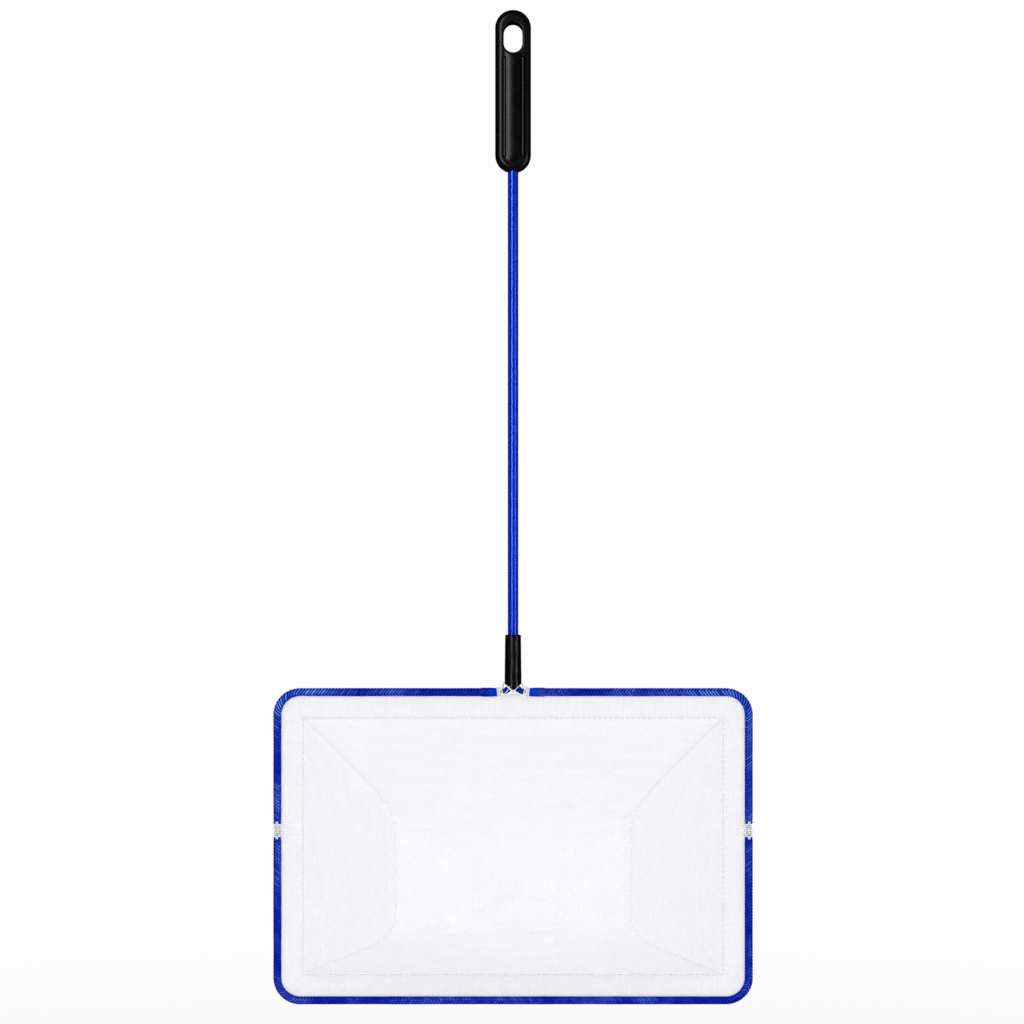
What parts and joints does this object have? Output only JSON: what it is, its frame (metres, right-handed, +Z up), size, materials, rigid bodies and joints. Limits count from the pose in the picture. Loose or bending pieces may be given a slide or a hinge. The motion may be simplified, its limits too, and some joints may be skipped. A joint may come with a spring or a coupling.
{
  "type": "skimmer net",
  "caption": "Hand skimmer net: rectangular blue-bound wire frame, shallow bag of fine white mesh, slim blue stem and a black grip with a hang slot.",
  "frame": {"origin": "centre of the hang slot's upper arc, half way through the grip's thickness, where a peg of the slot's width carries the hanging net", "axes": "+Z up the handle from the net to the grip, -Y out of the net's mouth, +Y towards the bag's floor, +X to the right when looking into the mouth"},
  "size_m": [0.2552, 0.0735, 0.5268],
  "materials": {
    "grip_black": "satin moulded",
    "stem_blue": "glossy extruded",
    "sleeve_black": "soft satin",
    "wire_coat": "coated steel wire",
    "binding_blue": "woven, glossy thread",
    "mesh_white": "fine woven mesh",
    "thread_white": "twisted thread"
  },
  "bodies": {
    "root": {"grip": "grip_black", "stem_tube": "stem_blue", "neck_sleeve": "sleeve_black", "frame_wire": "wire_coat", "hem_roll": "mesh_white", "binding_upper_left": "binding_blue", "binding_upper_right": "binding_blue", "binding_lower": "binding_blue", "rim_band": "mesh_white", "rim_seam": "thread_white", "bag_main_panel": "mesh_white", "bag_gusset_left": "mesh_white", "bag_gusset_right": "mesh_white", "gusset_seam_left": "thread_white", "gusset_seam_right": "thread_white", "side_lashing_left": "thread_white", "side_lashing_right": "thread_white", "neck_lashing": "thread_white", "hem_tab_left": "mesh_white", "hem_tab_right": "mesh_white"}
  },
  "joints": []
}
